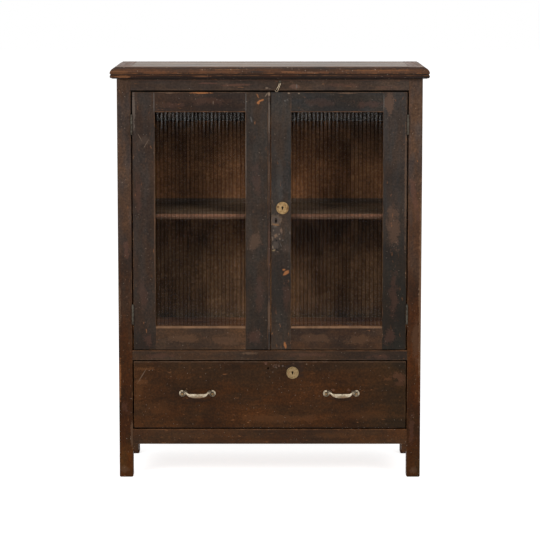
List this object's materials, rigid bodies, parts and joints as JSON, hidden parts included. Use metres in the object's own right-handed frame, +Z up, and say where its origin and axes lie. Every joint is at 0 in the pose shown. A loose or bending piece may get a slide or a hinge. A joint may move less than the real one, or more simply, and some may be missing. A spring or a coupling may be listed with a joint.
{
  "type": "kitchen cabinet",
  "caption": "Low wooden kitchen cabinet with a moulded top, ribbed glass doors over a wide drawer, bow pulls and round locks.",
  "frame": {"origin": "centre of the bounding box's base, on the floor", "axes": "+X to the right of someone facing the doors, +Y from the doors to the back, +Z up"},
  "size_m": [0.9484, 0.4124, 1.24],
  "materials": {
    "stained_wood": "dark brown stain, worn, dull",
    "moulding_wood": "dark stain rubbed through to brown on the edges, satin",
    "top_wood": "dark stain, satin, greyed by light from above",
    "plain_wood": "bare softwood, aged",
    "ribbed_glass": "clear, ribbed on the front",
    "brass": "worn, tarnished",
    "iron": "dull, lightly rusted",
    "pull_metal": "worn nickel plate over brass",
    "wire": "dull iron wire"
  },
  "bodies": {
    "carcass": {"post_front_right": "stained_wood", "post_front_left": "stained_wood", "post_back_right": "stained_wood", "post_back_left": "stained_wood", "rail_front_top": "stained_wood", "rail_front_middle": "stained_wood", "rail_front_bottom": "stained_wood", "rails_back": "plain_wood", "rails_side_right": "stained_wood", "rails_side_left": "stained_wood", "side_panels_right": "stained_wood", "side_panels_left": "stained_wood", "back_boards": "plain_wood", "foot_brackets": "stained_wood", "cabinet_floor": "plain_wood", "floor_battens": "plain_wood", "shelf": "plain_wood", "shelf_battens": "plain_wood", "door_stop_board": "plain_wood", "drawer_runner_right": "plain_wood", "drawer_runner_left": "plain_wood", "drawer_stops": "plain_wood", "wire_hook_nail": "iron", "moulding_front": "moulding_wood", "moulding_right": "moulding_wood", "moulding_left": "moulding_wood", "top_boards": "top_wood", "top_back_batten": "plain_wood", "hinge_leaves_posts": "iron"},
    "wire_hook": {"wire_hook": "wire"},
    "left_door": {"left_door_hinge_stile": "stained_wood", "left_door_meeting_stile": "stained_wood", "left_door_top_rail": "stained_wood", "left_door_bottom_rail": "stained_wood", "left_door_meeting_bead": "stained_wood", "left_door_glass": "ribbed_glass", "left_door_glazing_beads": "plain_wood", "left_door_hinge_leaves": "iron"},
    "right_door": {"right_door_meeting_stile": "stained_wood", "right_door_hinge_stile": "stained_wood", "right_door_top_rail": "stained_wood", "right_door_bottom_rail": "stained_wood", "right_door_glass": "ribbed_glass", "right_door_glazing_beads": "plain_wood", "right_door_hinge_leaves": "iron", "door_lock_rose": "brass", "door_lock_case": "iron"},
    "door_bolt": {"door_lock_bolt": "iron"},
    "drawer": {"drawer_front": "stained_wood", "drawer_side_right": "plain_wood", "drawer_side_left": "plain_wood", "drawer_back": "plain_wood", "drawer_bottom": "plain_wood", "drawer_pulls": "pull_metal", "drawer_lock_rose": "brass", "drawer_lock_case": "iron"},
    "drawer_bolt": {"drawer_lock_bolt": "iron"}
  },
  "joints": [
    {"name": "left_door_hinge", "type": "hinge", "parent": "carcass", "child": "left_door", "pos_m": [-0.41125, -0.177, 0.784], "axis": [0, 0, -1], "range_deg": [0, 170]},
    {"name": "right_door_hinge", "type": "hinge", "parent": "carcass", "child": "right_door", "pos_m": [0.41125, -0.177, 0.784], "axis": [0, 0, 1], "range_deg": [0, 170]},
    {"name": "drawer_slide", "type": "slide", "parent": "carcass", "child": "drawer", "axis": [0, -1, 0], "range_m": [0, 0.3]},
    {"name": "door_bolt_slide", "type": "slide", "parent": "right_door", "child": "door_bolt", "axis": [-1, 0, 0], "range_m": [0, 0.012]},
    {"name": "drawer_bolt_slide", "type": "slide", "parent": "drawer", "child": "drawer_bolt", "axis": [0, 0, 1], "range_m": [0, 0.012]},
    {"name": "wire_hook_swing", "type": "hinge", "parent": "carcass", "child": "wire_hook", "pos_m": [0.0305, -0.1761, 1.197], "axis": [0, 1, 0], "range_deg": [-60, 60]}
  ]
}
